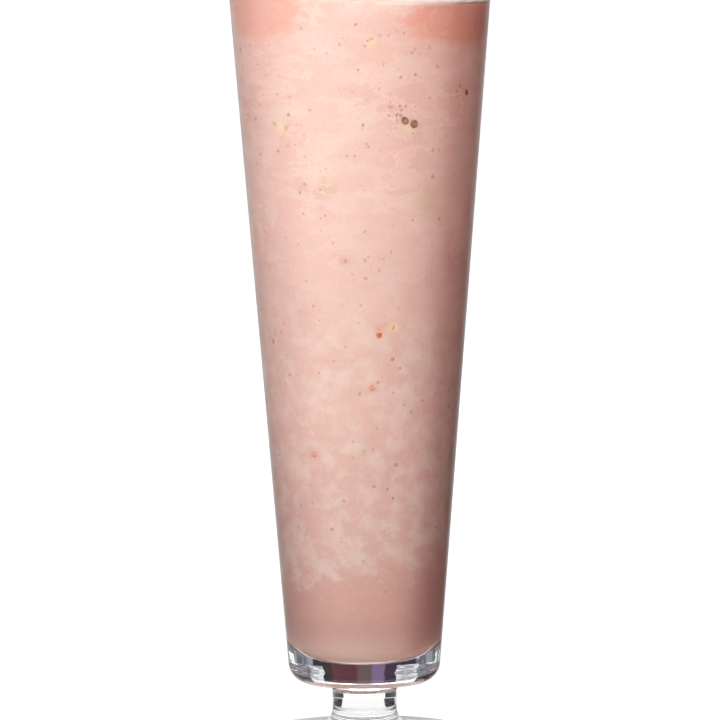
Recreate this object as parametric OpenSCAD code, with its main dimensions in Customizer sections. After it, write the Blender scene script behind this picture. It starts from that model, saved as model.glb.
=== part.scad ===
// Strawberry smoothie in a tall clear glass with a short stem and a round foot.
// The origin is the middle of the foot's underside, where the glass stands on the table.
// +Z points up, along the axis of the glass. All sizes are in millimetres.

/* [Bowl of the glass] */
// Height of the glass, from the table to the top of the rim
glass_h = 230; // [180:1:290]
// Outside diameter at the rim
rim_d = 76.2; // [62:0.5:94]
// Outside diameter of the bowl at its bottom corner
bowl_base_d = 43.2; // [35:0.2:54]
// Height of the bowl's underside above the table
bowl_z = 18.5; // [16:0.5:24]
// Radius of the rounded corner round the bowl's underside
corner_r = 5.6; // [4:0.1:7]
// Thickness of the wall at the rounded rim
rim_wall = 2; // [1.6:0.1:3]
// Thickness of the wall at the foot of the straight side
base_wall = 2.8; // [2:0.1:4.5]
// Thickness of the solid glass under the middle of the drink
base_t = 6.7; // [3:0.1:9]
// Radius of the rounded corner at the bottom of the inside
inner_corner_r = 17; // [6:0.5:18]

/* [Stem and foot] */
// Diameter of the stem at its neck
stem_d = 18.2; // [14:0.1:22]
// Radius of the fillet between the stem and the bowl
bowl_fillet_r = 3.2; // [1.5:0.1:4]
// Radius of the fillet between the stem and the foot
foot_fillet_r = 4.5; // [2:0.1:5.5]
// Diameter of the foot
foot_d = 65; // [54:0.5:80]
// Thickness of the foot at its rounded edge
foot_edge_t = 3.6; // [2.4:0.1:4.5]
// Height that the sloping top of the foot reaches at the stem
foot_rise = 6.9; // [5:0.1:8.2]
// Diameter of the shallow hollow under the foot
hollow_d = 48; // [36:0.5:50]
// Depth of the hollow under the foot, at its middle
hollow_h = 1.4; // [0.6:0.1:2.4]

/* [Drink] */
// Distance from the rim down to the level of the drink
headspace = 17.6; // [8:0.5:60]
// Height that the drink climbs up the wall above its level
meniscus_h = 0.8; // [0.2:0.1:2]
// Width of the curved edge where the drink climbs the wall
meniscus_w = 1.8; // [0.5:0.1:4]

/* [Hidden] */

// Sides of every round surface, and steps along the rounded stretches of the outline
$fn = 128;
arc_steps = 16;
small_arc_steps = 8;

// Points along an arc about a centre, between two angles
function arc(centre, r, from, to, steps) =
    [for (i = [0:steps]) centre + r * heading(from + (to - from) * i / steps)];

// Unit vector in the direction of an angle
function heading(angle) = [cos(angle), sin(angle)];

// Direction from each centre to where a straight side touches two circles, each on its right.
// A negative second radius puts the side on the left of the second circle.
function touch_angle(c1, r1, c2, r2) =
    atan2(c2[1] - c1[1], c2[0] - c1[0]) - acos((r1 - r2) / norm(c2 - c1));

// Radius at height z on the straight line between two points of the outline
function radius_at(z, low, high) =
    low[0] + (high[0] - low[0]) * (z - low[1]) / (high[1] - low[1]);

// The rim is a half round between the two faces of the wall
rim_r = rim_wall / 2;
rim_centre = [rim_d / 2 - rim_r, glass_h - rim_r];

// Outside of the bowl: a rounded corner, then one straight side up to the rim
corner_centre = [bowl_base_d / 2 - corner_r, bowl_z + corner_r];
side_angle = touch_angle(corner_centre, corner_r, rim_centre, rim_r);
side_low = corner_centre + corner_r * heading(side_angle);
side_high = rim_centre + rim_r * heading(side_angle);

// Inside of the bowl: a flat middle, a wide rounded corner, then one straight side up to the rim
floor_z = bowl_z + base_t;
inner_r = min(inner_corner_r, bowl_base_d / 2 - base_wall);
inner_z = floor_z + inner_r;
inner_centre = [radius_at(inner_z, side_low, side_high) - base_wall - inner_r, inner_z];
inner_angle = touch_angle(inner_centre, inner_r, rim_centre, -rim_r);
inner_low = inner_centre + inner_r * heading(inner_angle);
inner_high = rim_centre - rim_r * heading(inner_angle);

// Stem and foot: the foot's top slopes up to the stem, and a fillet joins the two
stem_r = stem_d / 2;
edge_r = foot_edge_t / 2;
edge_centre = [foot_d / 2 - edge_r, edge_r];
slope_angle = touch_angle(edge_centre, edge_r, [stem_r, foot_rise], 0);
slope = 90 - slope_angle;
foot_fillet_z = foot_rise + foot_fillet_r * (1 / cos(slope) - tan(slope));
foot_fillet_centre = [stem_r + foot_fillet_r, foot_fillet_z];
bowl_fillet_centre = [stem_r + bowl_fillet_r, bowl_z - bowl_fillet_r];

// The hollow under the foot is a shallow dome
hollow_r = hollow_d / 2;
dome_r = (hollow_r * hollow_r + hollow_h * hollow_h) / (2 * hollow_h);
dome_centre = [0, hollow_h - dome_r];
dome_angle = acos(hollow_r / dome_r);

// The drink: its level, and the top of the edge that climbs the wall
level_z = glass_h - headspace;
edge_z = level_z + meniscus_h;
edge_wall_r = radius_at(edge_z, inner_low, inner_high);

function bowl_inside() = arc(inner_centre, inner_r, -90, inner_angle, arc_steps);

function drink_edge() =
    [for (i = [0:small_arc_steps])
        let (turn = 90 * i / small_arc_steps)
        [edge_wall_r - meniscus_w * (1 - cos(turn)), edge_z - meniscus_h * sin(turn)]];

module glass_outline() {
    polygon(concat(
        arc(dome_centre, dome_r, 90, dome_angle, small_arc_steps),
        arc(edge_centre, edge_r, -90, slope_angle, arc_steps),
        arc(foot_fillet_centre, foot_fillet_r, 270 - slope, 180, arc_steps),
        arc(bowl_fillet_centre, bowl_fillet_r, 180, 90, small_arc_steps),
        arc(corner_centre, corner_r, -90, side_angle, arc_steps),
        arc(rim_centre, rim_r, side_angle, 180 + inner_angle, arc_steps),
        [for (i = [arc_steps:-1:0]) bowl_inside()[i]],
        [[0, floor_z]]
    ));
}

module drink_outline() {
    polygon(concat(
        [[0, floor_z]],
        bowl_inside(),
        drink_edge(),
        [[0, level_z]]
    ));
}

// Bowl, stem and foot are one piece of pressed and blown glass
module glass() {
    color("azure", 0.35)
        rotate_extrude()
            glass_outline();
}

// The drink fills the bowl up to its level and lies against the wall all round
module smoothie() {
    color("lightpink")
        rotate_extrude()
            drink_outline();
}

glass();
smoothie();
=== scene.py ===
import math
import random

import bmesh
import bpy
from mathutils import Matrix, Vector, noise


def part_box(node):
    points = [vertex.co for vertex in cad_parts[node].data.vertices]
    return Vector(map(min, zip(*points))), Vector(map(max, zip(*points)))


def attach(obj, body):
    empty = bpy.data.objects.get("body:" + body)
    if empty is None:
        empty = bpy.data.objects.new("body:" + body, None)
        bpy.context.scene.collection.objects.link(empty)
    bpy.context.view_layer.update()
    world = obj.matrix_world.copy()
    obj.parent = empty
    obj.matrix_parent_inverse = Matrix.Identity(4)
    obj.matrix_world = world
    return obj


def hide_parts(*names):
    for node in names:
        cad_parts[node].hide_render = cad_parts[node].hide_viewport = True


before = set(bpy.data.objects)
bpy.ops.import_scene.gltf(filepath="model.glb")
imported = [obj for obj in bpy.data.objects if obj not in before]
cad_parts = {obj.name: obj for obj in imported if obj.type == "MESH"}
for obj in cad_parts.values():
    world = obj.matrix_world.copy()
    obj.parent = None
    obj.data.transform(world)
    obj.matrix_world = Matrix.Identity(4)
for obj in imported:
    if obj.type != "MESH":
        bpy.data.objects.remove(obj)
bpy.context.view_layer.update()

mm = 0.001

# The glass: one piece of clear soda glass. The tapering bowl has a thick solid bottom, and a short
# stem joins it to the round foot. The shape is turned, so its outline is swept round the axis.
TURNS = 192
TINY = 0.001 * mm
SHARP = math.radians(40)
GLASS_IOR = 1.52


def turned_outline(node):
    """The outline of a turned solid: the edges of its mesh in the half plane through +X, to the axis."""
    outline = bmesh.new()
    outline.from_mesh(bpy.data.objects[node].data)
    bmesh.ops.remove_doubles(outline, verts=outline.verts, dist=TINY)
    off_plane = [v for v in outline.verts if abs(v.co.y) > TINY or v.co.x < -TINY]
    bmesh.ops.delete(outline, geom=off_plane, context="VERTS")
    for end in [v for v in outline.verts if len(v.link_edges) == 1 and v.co.x > TINY]:
        outline.edges.new((end, outline.verts.new((0, 0, end.co.z))))
    return outline


def sweep_round(shape, turns):
    """Sweep an outline once round the upright axis and close it."""
    bmesh.ops.spin(shape, geom=shape.verts[:] + shape.edges[:], cent=(0, 0, 0), axis=(0, 0, 1),
                   angle=2 * math.pi, steps=turns, use_merge=True)
    bmesh.ops.remove_doubles(shape, verts=shape.verts, dist=2 * TINY)
    bmesh.ops.recalc_face_normals(shape, faces=shape.faces)


def placed(shape, name, material):
    """Turn a shape into an object of one material, smooth but for its sharp edges."""
    for edge in shape.edges:
        edge.smooth = edge.calc_face_angle(0) < SHARP
    mesh = bpy.data.meshes.new(name)
    shape.to_mesh(mesh)
    shape.free()
    mesh.shade_smooth()
    mesh.materials.append(material)
    thing = bpy.data.objects.new(name, mesh)
    bpy.context.scene.collection.objects.link(thing)
    return thing


def piece(shape, name, material):
    """Turn a shape into a piece of the object."""
    thing = placed(shape, name, material)
    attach(thing, "root")
    return thing


class Value:
    """A number that varies over a surface; sums and products on it add Math nodes."""

    def __init__(self, finish, socket):
        self.finish = finish
        self.socket = socket

    def maths(self, operation, *numbers):
        return self.finish.value("ShaderNodeMath", {"operation": operation}, dict(enumerate(numbers)), 0)

    def __add__(self, other):
        return self.maths("ADD", self, other)

    def __sub__(self, other):
        return self.maths("SUBTRACT", self, other)

    def __rsub__(self, other):
        return self.maths("SUBTRACT", other, self)

    def __mul__(self, other):
        return self.maths("MULTIPLY", self, other)

    def __truediv__(self, other):
        return self.maths("DIVIDE", self, other)

    def __abs__(self):
        return self.maths("ABSOLUTE", self)

    __radd__ = __add__
    __rmul__ = __mul__

    def rise(self, low, high):
        """Nothing at low, one at high, with a soft step between them."""
        return self.finish.value("ShaderNodeMapRange", {"interpolation_type": "SMOOTHSTEP"},
                                 {"Value": self, "From Min": low, "From Max": high}, "Result")


class Finish:
    """The nodes of a material or of the world, put together one by one."""

    def __init__(self, owner):
        self.owner = owner
        owner.use_nodes = True
        self.tree = owner.node_tree
        self.tree.nodes.clear()

    def node(self, kind, settings, sockets):
        node = self.tree.nodes.new(kind)
        for key, setting in settings.items():
            setattr(node, key, setting)
        for key, value in sockets.items():
            if isinstance(value, Value):
                value = value.socket
            if isinstance(value, bpy.types.NodeSocket):
                self.tree.links.new(value, node.inputs[key])
            else:
                node.inputs[key].default_value = value
        return node

    def value(self, kind, settings, sockets, output):
        return Value(self, self.node(kind, settings, sockets).outputs[output])

    def place(self):
        """Where a point of the surface is, in metres."""
        return self.node("ShaderNodeTexCoord", {}, {}).outputs["Object"]

    def along(self, place, axis):
        return self.value("ShaderNodeSeparateXYZ", {}, {0: place}, axis)

    def clouds(self, place, size, detail=2.0, roughness=0.5, distortion=0.0):
        """Soft clouds of a size in metres, from nothing to one, about one half."""
        return self.value("ShaderNodeTexNoise", {},
                          {"Vector": place, "Scale": 1 / size, "Detail": detail,
                           "Roughness": roughness, "Distortion": distortion}, "Fac")

    def near(self, place, centre, reach, flatness=1.0):
        """How far a point is from a centre, in parts of a reach; flatness above one flattens it."""
        offset = self.node("ShaderNodeVectorMath", {"operation": "SUBTRACT"}, {0: place, 1: centre})
        scaled = self.node("ShaderNodeVectorMath", {"operation": "MULTIPLY"},
                           {0: offset.outputs[0], 1: (1 / reach, 1 / reach, flatness / reach)})
        return self.value("ShaderNodeVectorMath", {"operation": "LENGTH"}, {0: scaled.outputs[0]}, "Value")

    def squeezed(self, place, times):
        """The same place with heights counted more, for patterns that lie flat."""
        return self.node("ShaderNodeVectorMath", {"operation": "MULTIPLY"},
                         {0: place, 1: (1, 1, times)}).outputs[0]

    def blend(self, amount, colour, other):
        """One colour where the amount is nothing, the other where it is one."""
        return self.node("ShaderNodeMix", {"data_type": "RGBA"}, {0: amount, 6: colour, 7: other}).outputs[2]

    def bump(self, height, distance, strength=1.0):
        return self.node("ShaderNodeBump", {}, {"Height": height, "Distance": distance,
                                                "Strength": strength}).outputs[0]

    def rays(self):
        """Which rays look: straight or through clear glass only, off a dull surface, off a mirror."""
        path = self.node("ShaderNodeLightPath", {}, {}).outputs
        dull = Value(self, path["Diffuse Depth"]).rise(0, 0.5)
        straight = Value(self, path["Is Camera Ray"]) + Value(self, path["Is Transmission Ray"]) * (1 - dull)
        return straight, dull, Value(self, path["Is Glossy Ray"])

    def close(self, shader, kind="ShaderNodeOutputMaterial"):
        self.node(kind, {}, {"Surface": shader})
        return self.owner


def clear_glass():
    """Clear glass, very slightly wavy, that lets lamp light straight through to the drink."""
    finish = Finish(bpy.data.materials.new("clear glass"))
    waves = finish.bump(finish.clouds(finish.place(), 14 * mm, detail=1), 0.05 * mm)
    glass = finish.node("ShaderNodeBsdfPrincipled", {},
                        {"Base Color": (0.96, 0.975, 0.97, 1), "Roughness": 0.0, "IOR": GLASS_IOR,
                         "Transmission Weight": 1.0, "Normal": waves})
    through = finish.node("ShaderNodeBsdfTransparent", {}, {"Color": (0.95, 0.96, 0.955, 1)})
    mirrored = finish.node("ShaderNodeBsdfTransparent", {}, {"Color": (0, 0, 0, 1)})
    slant = finish.node("ShaderNodeFresnel", {}, {"IOR": GLASS_IOR})
    open_way = finish.node("ShaderNodeMixShader", {},
                           {0: slant.outputs[0], 1: through.outputs[0], 2: mirrored.outputs[0]})
    path = finish.node("ShaderNodeLightPath", {}, {})
    both = finish.node("ShaderNodeMixShader", {},
                       {0: path.outputs["Is Shadow Ray"], 1: glass.outputs[0], 2: open_way.outputs[0]})
    return finish.close(both.outputs[0])


glass_shape = turned_outline("glass")
sweep_round(glass_shape, TURNS)
glass = piece(glass_shape, "glass_bowl_stem_foot", clear_glass())
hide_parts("glass")

# The smoothie: strawberries, milk and ice blended to a thick, creamy, opaque drink. It wets the
# wall all round, so its side reaches just into the glass, and its top is foamy and uneven.
REACH = 0.15 * mm
TOP_RINGS = 22
SIDE_RINGS = 60
TOP_WAVES = 0.5 * mm
TOP_LEAN = 0.03
TOP_LIFT = 0.3 * mm
drink_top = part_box("smoothie")[1].z


def on_wall(degrees, height, inset=0.0):
    """A point on the drink's side; zero degrees is the front and ninety is to the right."""
    turn = math.radians(degrees)
    radius = wall_radius(height) - inset
    return (radius * math.sin(turn), -radius * math.cos(turn), height)


def smoothie_finish(top_level):
    """Creamy pinks clouded together: smooth at the bottom, lumpy above that, then drawn out in wisps."""
    finish = Finish(bpy.data.materials.new("smoothie"))
    place = finish.place()
    across = finish.along(place, "X")
    height = finish.along(place, "Z")
    pink = (0.78, 0.55, 0.49, 1)
    low_pink = (0.735, 0.455, 0.39, 1)
    cream = (0.83, 0.685, 0.615, 1)
    # bottom: a pale tint that is painted light from below, not the drink's own colour
    bottom = (0.98, 0.74, 0.655, 1)
    rosy = (0.68, 0.38, 0.34, 1)
    orange = (0.78, 0.36, 0.26, 1)
    olive = (0.68, 0.52, 0.34, 1)
    straw = (0.90, 0.74, 0.46, 1)
    pale = (0.95, 0.80, 0.72, 1)
    slow = finish.clouds(place, 24 * mm, detail=3)
    lumps = finish.clouds(place, 5 * mm, detail=4, roughness=0.62)
    wisps = finish.clouds(finish.squeezed(place, 2.2), 9 * mm, detail=3, roughness=0.55, distortion=0.4)
    grain = finish.clouds(place, 1.1 * mm, detail=2, roughness=0.7)

    # The broad colours, from the bottom up: a darker, browner pink low down and paler cream above, partly
    # the drink's own layers and partly painted shade below and painted light above, for light that falls
    # from above
    colour = finish.blend((height + 80 * mm * (slow - 0.5)).rise(30 * mm, 150 * mm), low_pink, pink)
    colour = finish.blend(0.6 * slow.rise(0.5, 0.75), colour, rosy)
    lumpy = (height + 30 * mm * (slow - 0.5) + 12 * mm * (lumps - 0.5)).rise(50 * mm, 54 * mm)
    lumpy = lumpy * (1 - height.rise(110 * mm, 150 * mm))
    colour = finish.blend(lumpy * (0.15 + 0.6 * lumps.rise(0.38, 0.66)), colour, cream)
    # Painted light: the lowest few centimetres are painted much paler, standing in for light bounced up from
    # the table onto the underside
    colour = finish.blend(0.9 * (1 - height.rise(26 * mm, 38 * mm)), colour, bottom)
    # Painted light in part: the steady share of cream above 110 mm makes the whole upper drink paler
    wispy = height.rise(110 * mm, 160 * mm) * (0.25 + 0.5 * wisps.rise(0.4, 0.7))
    colour = finish.blend(wispy, colour, cream)

    # Patches rich in fruit: direction, height, reach and flatness
    for degrees, level, reach, flatness, amount in ((-54, 212 * mm, 20 * mm, 1.6, 0.5),
                                                    (58, 208 * mm, 28 * mm, 3.0, 0.65)):
        gap = finish.near(place, on_wall(degrees, level), reach, flatness) + 0.4 * (wisps - 0.5)
        colour = finish.blend(amount * (1 - gap.rise(0.6, 1.0)), colour, orange)
    for degrees, level, reach, flatness in ((64, 42 * mm, 14 * mm, 0.6), (84, 210 * mm, 16 * mm, 1.1)):
        gap = finish.near(place, on_wall(degrees, level), reach, flatness) + 0.5 * (lumps - 0.5)
        colour = finish.blend(0.8 * (1 - gap.rise(0.4, 1.0)), colour, rosy)
    for degrees, level, reach in ((-17, 162 * mm, 4 * mm), (36, 158 * mm, 5 * mm)):
        gap = finish.near(place, on_wall(degrees, level), reach) + 0.8 * (lumps - 0.5)
        colour = finish.blend(0.45 * (1 - gap.rise(0.4, 1.0)), colour, olive)

    # Faint halos of colour round single seeds and bits
    for degrees, level, tint in ((5, 202, straw), (-43, 178, straw), (24, 178, straw), (18, 122, straw),
                                 (10, 122, orange), (6, 105, orange), (-33, 86, orange), (-9, 141, rosy)):
        gap = finish.near(place, on_wall(degrees, level * mm), 2.4 * mm)
        colour = finish.blend(0.5 * (1 - gap.rise(0.2, 1.0)), colour, tint)

    # Threads of cream, the paler upper edge on the right, and the grain of the pulp; the paler edge is
    # partly foam and partly painted light over the shadow line under the meniscus
    threads = 1 - abs(wisps - 0.52).rise(0.0, 0.025)
    threads = threads * height.rise(120 * mm, 150 * mm) * slow.rise(0.4, 0.6)
    colour = finish.blend(0.4 * threads, colour, pale)
    # Partly painted light: the top millimetre on the right is painted pale over the meniscus's shadow line
    edge = height + TOP_LEAN * across - TOP_LIFT
    edge = edge.rise(top_level - 0.5 * mm, top_level) * across.rise(0, 12 * mm)
    colour = finish.blend(0.6 * edge, colour, pale)
    colour = finish.blend(0.35 * grain.rise(0.55, 0.8), colour, rosy)
    colour = finish.blend(0.35 * (1 - grain.rise(0.25, 0.45)), colour, cream)
    skin = finish.node("ShaderNodeBsdfPrincipled", {},
                       {"Base Color": colour, "Roughness": 0.4, "IOR": 1.35, "Specular IOR Level": 0.1,
                        "Subsurface Weight": 0.5, "Subsurface Radius": (1.0, 0.35, 0.25),
                        "Subsurface Scale": 5 * mm,
                        "Normal": finish.bump(0.4 * grain + 2.5 * lumpy * lumps, 0.2 * mm, 0.6)})

    # Seen at a low angle through the thick bottom, the wet underside shines like a mirror
    slant = finish.value("ShaderNodeLayerWeight", {}, {"Blend": 0.5}, "Facing")
    gloss = finish.node("ShaderNodeBsdfGlossy", {}, {"Color": (0.95, 0.88, 0.86, 1), "Roughness": 0.03})
    under = 1 - height.rise(45 * mm, 60 * mm)
    wet = finish.node("ShaderNodeMixShader", {},
                      {0: 0.85 * under * slant.rise(0.62, 0.9), 1: skin.outputs[0], 2: gloss.outputs[0]})
    return finish.close(wet.outputs[0])


drink_shape = turned_outline("smoothie")
top_edge = max(drink_shape.edges,
               key=lambda e: min(v.co.z for v in e.verts) - 0.5 * min(v.co.x for v in e.verts))
top_level = min(v.co.z for v in top_edge.verts)
side_line = sorted((v.co.z, v.co.x) for v in drink_shape.verts
                   if v.co.x > mm and (v.co.z < top_level - mm or v.co.z > drink_top - 0.01 * mm))


def wall_radius(height):
    """The drink's radius against the wall at a height, read from its outline."""
    for (z_low, r_low), (z_high, r_high) in zip(side_line, side_line[1:]):
        if height <= z_high:
            break
    return r_low + (r_high - r_low) * (height - z_low) / (z_high - z_low)


side_edge = max(drink_shape.edges, key=lambda e: abs(e.verts[0].co.z - e.verts[1].co.z))
bmesh.ops.subdivide_edges(drink_shape, edges=[top_edge], cuts=TOP_RINGS)
bmesh.ops.subdivide_edges(drink_shape, edges=[side_edge], cuts=SIDE_RINGS)
sweep_round(drink_shape, TURNS)
# The side goes just into the wall, and the top gets its waves, its lift and its slight lean
for vert in drink_shape.verts:
    across = vert.co.xy.length
    if vert.co.z < top_level - 0.01 * mm:
        vert.co += REACH * vert.normal
        continue
    if across > wall_radius(vert.co.z) - 0.05 * mm:
        vert.co.xy *= 1 + REACH / across
    if vert.co.z < top_level + 0.01 * mm:
        inside = wall_radius(top_level) - 2.5 * mm - across
        waves = noise.noise(vert.co / (9 * mm)) + 0.5 * noise.noise(vert.co / (3 * mm))
        vert.co.z += TOP_WAVES * waves * min(max(inside / (3 * mm), 0), 1)
    vert.co.z += TOP_LIFT - TOP_LEAN * vert.co.x
drink = piece(drink_shape, "smoothie_body", smoothie_finish(top_level))
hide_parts("smoothie")

# The bubbles against the wall: air caught in the thick drink. Each is a small open hollow that the glass
# closes, so it looks dark above and light below; the hollows are also painted darker than the drink, as
# painted shade. A few big ones sit together.
random.seed(5)


def plain_finish(name, colour, other, size, roughness, weight=0.0):
    """Two colours clouded together and moist, with a thin wet coat where weight says so."""
    finish = Finish(bpy.data.materials.new(name))
    mix = finish.clouds(finish.place(), size, detail=3, roughness=0.6)
    skin = finish.node("ShaderNodeBsdfPrincipled", {},
                       {"Base Color": finish.blend(mix.rise(0.35, 0.65), colour, other),
                        "Roughness": roughness, "IOR": 1.35, "Specular IOR Level": 0.3,
                        "Coat Weight": weight, "Coat Roughness": 0.1})
    return finish.close(skin.outputs[0])


def turned_shape(profile, turns):
    """A small closed shape from an outline of radius and height, swept round."""
    shape = bmesh.new()
    verts = [shape.verts.new((radius, 0, height)) for radius, height in profile]
    for low, high in zip(verts, verts[1:]):
        shape.edges.new((low, high))
    sweep_round(shape, turns)
    return shape


def copies(shape, places):
    """Copies of a small shape, one at each place, in one mesh."""
    stamp = bpy.data.meshes.new("stamp")
    shape.to_mesh(stamp)
    shape.free()
    joined = bmesh.new()
    for place in places:
        copy = stamp.copy()
        copy.transform(place)
        joined.from_mesh(copy)
        bpy.data.meshes.remove(copy)
    bpy.data.meshes.remove(stamp)
    return joined


def facing_wall(degrees, height, size, depth):
    """Where a shape of a size and depth goes to lie flat against the wall, turned at random."""
    slope = math.atan2(wall_radius(height + mm) - wall_radius(height - mm), 2 * mm)
    return (Matrix.Translation(on_wall(degrees, height, -REACH))
            @ Matrix.Rotation(math.radians(degrees), 4, "Z")
            @ Matrix.Rotation(math.pi / 2 + slope, 4, "X")
            @ Matrix.Rotation(random.uniform(0, 6.28), 4, "Z")
            @ Matrix.Diagonal((size, size * random.uniform(0.75, 1), depth, 1)))


def stamped(shape, spots, name, material):
    """One piece made of copies of a shape against the wall: direction, height, size and depth of each."""
    return piece(copies(shape, (facing_wall(*spot) for spot in spots)), name, material)


# Radius and height of a hollow's outline, in parts of its size and depth
HOLLOW = ((0, 0.0), (0.45, 0.1), (0.8, 0.55), (0.95, 0.9), (1.05, 0.9), (1.3, -0.2), (0, -0.3))
big_spots = [(22, 180 * mm, 1.0 * mm, 0.5 * mm), (27, 179 * mm, 0.95 * mm, 0.5 * mm),
             (61, 187 * mm, 0.75 * mm, 0.4 * mm)]
big_spots += [(random.uniform(90, 270), random.uniform(100, 205) * mm,
               random.uniform(0.6, 1) * mm, 0.4 * mm) for spot in range(9)]
# The big hollows are painted dark brown: painted shade, as the drink in them is no darker
stamped(turned_shape(HOLLOW, 16), big_spots, "big_bubbles",
        plain_finish("bubble hollow in painted shade", (0.34, 0.16, 0.10, 1), (0.48, 0.27, 0.17, 1), 1 * mm, 0.35))
SMALL_BUBBLES = 800
small_spots = [(-28, 206 * mm, 0.5 * mm, 0.3 * mm), (39, 195 * mm, 0.5 * mm, 0.3 * mm),
               (39, 164 * mm, 0.55 * mm, 0.3 * mm), (-39, 173 * mm, 0.45 * mm, 0.3 * mm),
               (-62, 180 * mm, 0.5 * mm, 0.3 * mm), (-33, 160 * mm, 0.4 * mm, 0.25 * mm),
               (-13, 73 * mm, 0.4 * mm, 0.25 * mm), (55, 189 * mm, 0.5 * mm, 0.3 * mm),
               (48, 114 * mm, 0.45 * mm, 0.25 * mm), (22, 83 * mm, 0.5 * mm, 0.3 * mm)]
small_spots += [(random.gauss(17, 4), random.gauss(182, 2) * mm, random.uniform(0.2, 0.45) * mm, 0.2 * mm)
                for spot in range(14)]
small_spots += [(random.uniform(60, 290), random.uniform(60, 205) * mm,
                 random.uniform(0.4, 0.6) * mm, 0.4 * mm) for spot in range(30)]
small_spots += [(random.uniform(0, 360), (205 - 150 * random.random() ** 1.3) * mm,
                 (0.12 + 0.3 * random.random() ** 2) * mm, 0.2 * mm) for spot in range(SMALL_BUBBLES)]
# The small hollows are painted a little darker than the drink: painted shade
stamped(turned_shape(HOLLOW, 10), small_spots, "small_bubbles",
        plain_finish("small bubble hollow in painted shade", (0.64, 0.42, 0.34, 1), (0.80, 0.56, 0.47, 1), 2 * mm, 0.35))

# The seeds: olive-yellow strawberry seeds, about one and a half millimetres long, that the blades
# left whole. They lie flat against the wall, half sunk in the drink.
SEED_HALF = 0.75 * mm
SEED_DEPTH = 0.22 * mm


def seed_shape():
    """A drop shape: wider at one end."""
    shape = bmesh.new()
    bmesh.ops.create_uvsphere(shape, u_segments=12, v_segments=8, radius=1)
    for vert in shape.verts:
        vert.co.y *= 0.62 * (1 - 0.3 * vert.co.x)
    return shape


seed_spots = [(5, 203), (-47, 179), (-39, 178), (2, 141), (12, 142), (18, 122), (0, 87), (-44, 63),
              (-41, 54)]
seed_spots += [(random.uniform(80, 280), random.uniform(45, 205)) for seed in range(22)]
stamped(seed_shape(), [(degrees, height * mm, SEED_HALF * random.uniform(0.8, 1.1), SEED_DEPTH)
                       for degrees, height in seed_spots], "strawberry_seeds",
        plain_finish("strawberry seed", (0.78, 0.66, 0.34, 1), (0.62, 0.48, 0.22, 1), 1 * mm, 0.4))

# The fruit bits: torn scraps of red strawberry skin and flesh, one to two millimetres wide, flat
# against the wall. Some are bright bits of skin, and most are pale bits of flesh.
SCRAP_DEPTH = 0.15 * mm


def scrap_shape():
    """A ball with torn, lumpy sides."""
    shape = bmesh.new()
    bmesh.ops.create_icosphere(shape, subdivisions=2, radius=1)
    for vert in shape.verts:
        vert.co *= 1 + 0.45 * noise.noise(1.3 * vert.co)
    return shape


def scraps(spots, name, material):
    """One piece made of scraps: direction, height and size of each, in degrees and millimetres."""
    flat_spots = [(degrees, height * mm, size * mm, SCRAP_DEPTH) for degrees, height, size in spots]
    stamped(scrap_shape(), flat_spots, name, material)


bright_bits = [(10, 120, 0.9)]
bright_bits += [(random.uniform(80, 280), random.uniform(45, 205), random.uniform(0.6, 1.0))
                for scrap in range(7)]
scraps(bright_bits, "bright_strawberry_bits",
       plain_finish("bright strawberry bit", (0.85, 0.30, 0.12, 1), (0.66, 0.15, 0.07, 1), 1 * mm, 0.35))
faint_bits = [(-2, 207, 0.5), (18, 113, 0.6), (6, 105, 0.8), (-33, 86, 0.8), (-9, 141, 0.5),
              (45, 152, 0.6), (16, 47, 0.4), (-70, 181, 0.6)]
faint_bits += [(random.uniform(60, 300), random.uniform(45, 205), random.uniform(0.4, 0.9))
               for scrap in range(24)]
scraps(faint_bits, "faint_strawberry_bits",
       plain_finish("faint strawberry bit", (0.80, 0.42, 0.32, 1), (0.70, 0.30, 0.22, 1), 1 * mm, 0.35))

# The foam: fine bubbles of air that rose to the top of the drink. They float half sunk, a little
# flattened, and gather along the wall.
FOAM_BUBBLES = 1900


def foam_shape():
    shape = bmesh.new()
    bmesh.ops.create_uvsphere(shape, u_segments=10, v_segments=6, radius=1)
    return shape


def afloat():
    """A random place and size for a bubble on the top."""
    turn = random.uniform(0, 2 * math.pi)
    spread = math.sqrt(random.uniform(0.0, 1)) ** random.choice((1, 0.3))
    across = (wall_radius(top_level) - 2.2 * mm) * spread
    size = random.choice((0.2, 0.25, 0.3, 0.4, 0.7)) * random.uniform(0.8, 1.3) * mm
    x = across * math.cos(turn)
    level = top_level + TOP_LIFT - TOP_LEAN * x - 0.1 * mm
    return (Matrix.Translation((x, across * math.sin(turn), level))
            @ Matrix.Diagonal((size, size, 0.5 * size, 1)))


piece(copies(foam_shape(), (afloat() for bubble in range(FOAM_BUBBLES))), "foam_bubbles",
      plain_finish("foam", (0.88, 0.68, 0.61, 1), (0.82, 0.58, 0.51, 1), 4 * mm, 0.3, 0.3))

# The table: a wide plain top of matt white board, which the glass stands on. Far from the glass it is
# as bright as the white room behind it.
TABLE_R = 30


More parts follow.
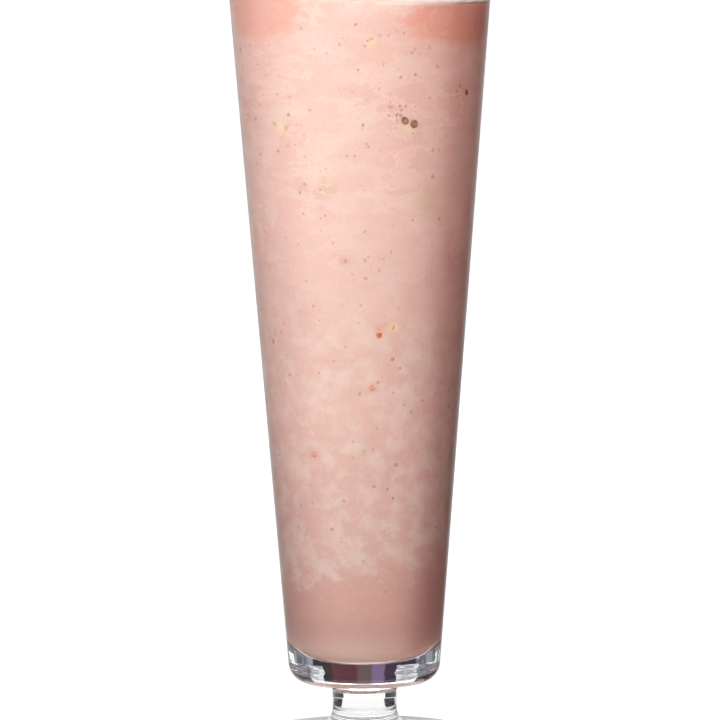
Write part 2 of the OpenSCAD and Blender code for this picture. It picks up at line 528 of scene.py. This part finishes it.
def white_table():
    """A white top that the eye and clear glass see evenly lit. The drink sees it pink, with a painted glow
    round the glass that stands for light bounced up onto the drink; beyond that the drink gets little light
    from it.
    """
    finish = Finish(bpy.data.materials.new("white table"))
    place = finish.place()
    away = finish.value("ShaderNodeVectorMath", {"operation": "LENGTH"}, {0: place}, "Value")
    straight, dull, mirror = finish.rays()
    pale = finish.node("ShaderNodeBsdfDiffuse", {}, {"Color": (0.15, 0.15, 0.15, 1)})
    light = finish.node("ShaderNodeEmission", {}, {"Strength": 0.94 + 0.08 * away.rise(0.1, 1.2)})
    seen = finish.node("ShaderNodeAddShader", {}, {0: pale.outputs[0], 1: light.outputs[0]})
    # Painted light: the drink's rays see the table pink, a tint of bounced light; the table itself is white
    paint = finish.node("ShaderNodeBsdfDiffuse", {}, {"Color": (0.75, 0.58, 0.54, 1)})
    # Painted light: a pink glow on the table round the glass, which lights the drink from below
    painted_bounce_glow = finish.node("ShaderNodeEmission", {}, {"Color": (1, 0.85, 0.8, 1),
                                                  "Strength": 0.6 * (1 - away.rise(30 * mm, 80 * mm))})
    lit = finish.node("ShaderNodeAddShader", {}, {0: paint.outputs[0], 1: painted_bounce_glow.outputs[0]})
    # Painted reflection: in the glass's mirror the table is dim, brighter behind and to the left
    back = (finish.along(place, "Y") / away).rise(0.75, 0.97)
    left = 1 - (finish.along(place, "X") / away).rise(-0.8, 0.1)
    mirrored = finish.node("ShaderNodeEmission", {}, {"Strength": 0.05 + 0.35 * back + 0.3 * left})
    dim = finish.node("ShaderNodeMixShader", {},
                      {0: mirror * (1 - dull), 1: lit.outputs[0], 2: mirrored.outputs[0]})
    whole = finish.node("ShaderNodeMixShader", {}, {0: straight, 1: dim.outputs[0], 2: seen.outputs[0]})
    return finish.close(whole.outputs[0])


table_shape = bmesh.new()
bmesh.ops.create_circle(table_shape, cap_ends=True, segments=96, radius=TABLE_R)
table = placed(table_shape, "table_top", white_table())

# Cards round the glass, which only the glass sees. The dark ones draw the dark lines in its stem and
# its thick bottom, as the cards of a studio do, and the pale ones grey the light between them.
CARD_R = 110 * mm


def streaks_of(finish):
    """Flat streaks, as the faint waves of pressed glass break up what is behind it."""
    return finish.clouds(finish.squeezed(finish.place(), 1.6), 9 * mm, detail=2).rise(0.38, 0.62)


def dark_card_finish():
    """Near black with grey streaks; the narrow card is maroon, brown and lavender in its middle, a painted
    reflection of the drink's dark underside and of the lamps as the stem shows them.
    """
    finish = Finish(bpy.data.materials.new("dark card"))
    across = finish.along(finish.place(), "X")
    height = finish.along(finish.place(), "Z")
    black = (0.02, 0.018, 0.022, 1)
    low = height.rise(10 * mm, 14 * mm) * (1 - height.rise(48 * mm, 56 * mm))
    outer = finish.blend(low * (0.35 + 0.65 * streaks_of(finish)), black, (0.34, 0.35, 0.40, 1))
    # Painted reflection: the drink's dark underside and the lamps, as seen in the stem
    middle = finish.blend(across.rise(-6 * mm, -4 * mm), (0.20, 0.14, 0.27, 1), (0.14, 0.09, 0.09, 1))
    middle = finish.blend(across.rise(4 * mm, 7 * mm), middle, (0.10, 0.03, 0.045, 1))
    middle = finish.blend(across.rise(24 * mm, 27 * mm), middle, black)
    middle = finish.blend(1 - across.rise(-16 * mm, -14 * mm), middle, (0.045, 0.03, 0.06, 1))
    colour = finish.blend(abs(across).rise(44 * mm, 46 * mm), middle, outer)
    paint = finish.node("ShaderNodeEmission", {}, {"Color": colour})
    return finish.close(paint.outputs[0])


def pale_card_finish():
    """Pale cool grey with whiter streaks."""
    finish = Finish(bpy.data.materials.new("pale card"))
    colour = finish.blend(streaks_of(finish), (0.36, 0.37, 0.41, 1), (0.88, 0.90, 0.95, 1))
    paint = finish.node("ShaderNodeEmission", {}, {"Color": colour})
    return finish.close(paint.outputs[0])


dark = dark_card_finish()
pale_grey = pale_card_finish()


def card(name, material, middle, half, low, high, inner=CARD_R, outer=CARD_R):
    """A card bent round the glass: its middle direction, half its angle, two heights and two radii."""
    turn = math.radians(middle - half)
    shape = bmesh.new()
    ends = [shape.verts.new((radius * math.sin(turn), -radius * math.cos(turn), height))
            for radius, height in ((inner, low), (outer, high))]
    shape.edges.new(ends)
    bmesh.ops.spin(shape, geom=shape.verts[:] + shape.edges[:], cent=(0, 0, 0), axis=(0, 0, 1),
                   angle=math.radians(2 * half), steps=16)
    thing = placed(shape, name, material)
    thing.visible_camera = False
    thing.visible_diffuse = False
    thing.visible_glossy = False
    thing.visible_shadow = False


for side in (0, 180):
    card("narrow_card_%d" % side, dark, side - 2.5, 15.5, 20 * mm, 56 * mm)
    card("left_card_%d" % side, dark, side + 68.5, 41.5, 0.5 * mm, 110 * mm)
    card("right_card_%d" % side, dark, side - 69, 41, 0.5 * mm, 110 * mm)
    card("right_gap_card_%d" % side, dark, side - 25, 7.5, 19 * mm, 25.5 * mm)
    card("left_gap_card_%d" % side, dark, side + 20, 8, 19 * mm, 23 * mm)
    card("right_pale_card_%d" % side, pale_grey, side - 23.5, 5.5, 25.5 * mm, 56 * mm)
    card("left_pale_card_%d" % side, pale_grey, side + 20, 7, 23 * mm, 56 * mm)
    card("left_flat_card_%d" % side, dark, side + 42, 17, 0.05 * mm, 0.05 * mm, 36 * mm, 109 * mm)
    card("right_flat_card_%d" % side, dark, side - 48, 18, 0.05 * mm, 0.05 * mm, 36 * mm, 109 * mm)

# The studio: a white room to the eye and through the glass, dim in what it lights, and seen in the
# glass as a white wall behind and a paler one on the left.


def studio_room():
    finish = Finish(bpy.data.worlds.new("studio"))
    way = finish.node("ShaderNodeTexCoord", {}, {}).outputs["Generated"]
    straight, dull, mirror = finish.rays()
    left = 1 - finish.along(way, "X").rise(-0.8, 0.1)
    behind = finish.along(way, "Y").rise(0.75, 0.97)
    shine = mirror * (0.06 + 0.45 * left + 0.9 * behind)
    white = finish.node("ShaderNodeBackground", {}, {"Strength": 1.05 * straight + shine})
    warm = finish.node("ShaderNodeBackground", {}, {"Color": (1.0, 0.25, 0.2, 1), "Strength": 0.12 * dull})
    both = finish.node("ShaderNodeAddShader", {}, {0: white.outputs[0], 1: warm.outputs[0]})
    return finish.close(both.outputs[0], "ShaderNodeOutputWorld")


bpy.context.scene.world = studio_room()

# The lamps: soft boxes in a wide arc in front, strongest from the front and the left, with a warm one
# on the right and one behind for the far side. The outside of the glass doesn't mirror them.
LAMP_AWAY = 1.3
LAMP_AIM = Vector((0, 0, 0.12))


def soft_lamp(name, azimuth, elevation, width, height, power, colour=(1, 1, 1)):
    """A soft box on a circle round the glass, turned to its middle; azimuth 0 is the front."""
    lamp = bpy.data.lights.new(name, "AREA")
    lamp.shape = "RECTANGLE"
    lamp.size = width
    lamp.size_y = height
    lamp.energy = power
    lamp.color = colour
    stand = bpy.data.objects.new(name, lamp)
    bpy.context.scene.collection.objects.link(stand)
    turn = math.radians(azimuth)
    lift = math.radians(elevation)
    away = Vector((math.sin(turn) * math.cos(lift), -math.cos(turn) * math.cos(lift), math.sin(lift)))
    stand.location = LAMP_AIM + LAMP_AWAY * away
    stand.rotation_euler = away.to_track_quat("Z", "Y").to_euler()
    stand.visible_glossy = False


soft_lamp("far_left_soft_box", -68, 22, 0.4, 0.8, 3.3, (1, 0.85, 0.85))
soft_lamp("left_soft_box", -45, 30, 0.4, 0.8, 5.4, (1, 0.93, 0.93))
soft_lamp("key_soft_box", -18, 28, 0.4, 0.8, 5.2, (0.9, 1, 1))
soft_lamp("front_soft_box", 5, 14, 0.4, 0.6, 5.2, (0.87, 1, 1))
soft_lamp("right_soft_box", 27, 36, 0.4, 0.6, 3.4, (1, 0.85, 0.82))
soft_lamp("warm_soft_box", 42, 20, 0.4, 0.6, 1.8, (1, 0.25, 0.22))
soft_lamp("back_soft_box", 180, 32, 0.6, 0.8, 9)

# The camera: it stands well back with a long lens, a little above the rim, and leans by about a third
# of a degree.
camera_data = bpy.data.cameras.new("camera")
camera_data.lens = 303
camera_data.sensor_width = 36
camera_data.clip_end = 100
camera = bpy.data.objects.new("camera", camera_data)
bpy.context.scene.collection.objects.link(camera)
aim = Vector((-0.65 * mm, 0, 110.3 * mm))
camera_height = 281.3 * mm
camera_distance = 1.71
camera.location = (aim.x, -camera_distance, camera_height)
look_down = math.atan2(camera_height - aim.z, camera_distance)
lean = Matrix.Rotation(math.radians(-0.39), 4, "Z")
tilt = Matrix.Rotation(math.pi / 2 - look_down, 4, "X")
camera.rotation_euler = (tilt @ lean).to_euler()
bpy.context.scene.camera = camera
bpy.context.scene.view_settings.view_transform = "Standard"
